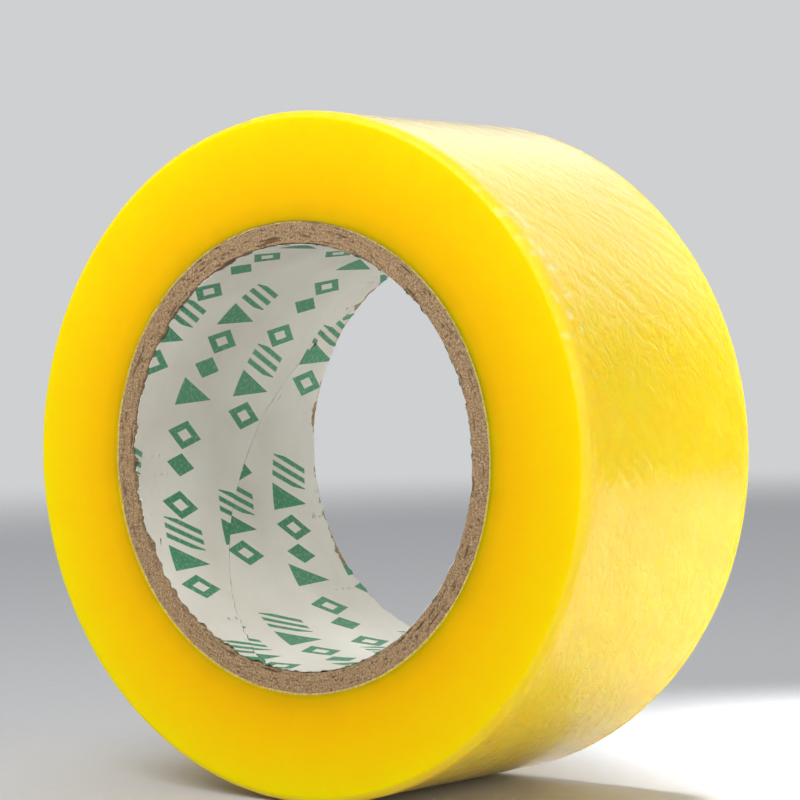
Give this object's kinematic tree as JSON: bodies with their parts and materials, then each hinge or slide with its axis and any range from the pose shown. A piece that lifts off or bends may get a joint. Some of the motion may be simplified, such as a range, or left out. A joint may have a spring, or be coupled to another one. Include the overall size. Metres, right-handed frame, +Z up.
{
  "type": "packing tape roll",
  "caption": "Roll of wide yellow carton sealing tape wound on a spiral paper core, with a free end that lifts and peels back.",
  "frame": {"origin": "centre of the roll, on its axis, halfway between its two side faces", "axes": "+Y along the roll's axis, from the front side face to the back one; +Z up, with the roll standing on its tread"},
  "size_m": [0.124, 0.055, 0.124],
  "materials": {
    "yellow_film": "clear yellow polypropylene film with adhesive, wound solid and glossy",
    "kraft_board": "saw-cut kraft board, fibrous",
    "white_paper": "smooth white paper with green marks",
    "cream_paper": "smooth cream paper"
  },
  "bodies": {
    "roll": {"core_liner": "white_paper", "core_board_ply_1": "kraft_board", "core_board_ply_2": "kraft_board", "core_board_ply_3": "kraft_board", "core_board_ply_4": "kraft_board", "core_board_ply_5": "kraft_board", "core_board_ply_6": "kraft_board", "core_outer_ply": "cream_paper", "tape_first_turn": "yellow_film", "tape_windings": "yellow_film", "tape_outer_turn": "yellow_film"},
    "leader_1": {"tape_leader_1": "yellow_film"},
    "leader_2": {"tape_leader_2": "yellow_film"},
    "leader_3": {"tape_leader_3": "yellow_film"},
    "leader_4": {"tape_leader_4": "yellow_film"}
  },
  "joints": [
    {"name": "leader_peel", "type": "hinge", "parent": "roll", "child": "leader_1", "pos_m": [-0.01077, 0, 0.06106], "axis": [0, 1, 0], "range_deg": [0, 40]},
    {"name": "leader_curl_2", "type": "hinge", "parent": "leader_1", "child": "leader_2", "pos_m": [-0.02718, 0, 0.05573], "axis": [0, 1, 0], "range_deg": [0, 40]},
    {"name": "leader_curl_3", "type": "hinge", "parent": "leader_2", "child": "leader_3", "pos_m": [-0.04149, 0, 0.04607], "axis": [0, 1, 0], "range_deg": [0, 40]},
    {"name": "leader_curl_4", "type": "hinge", "parent": "leader_3", "child": "leader_4", "pos_m": [-0.05258, 0, 0.03286], "axis": [0, 1, 0], "range_deg": [0, 40]}
  ],
  "couplings": [
    {"joint": "leader_curl_2", "follows": "leader_peel", "ratio": 1},
    {"joint": "leader_curl_3", "follows": "leader_peel", "ratio": 1},
    {"joint": "leader_curl_4", "follows": "leader_peel", "ratio": 1}
  ]
}
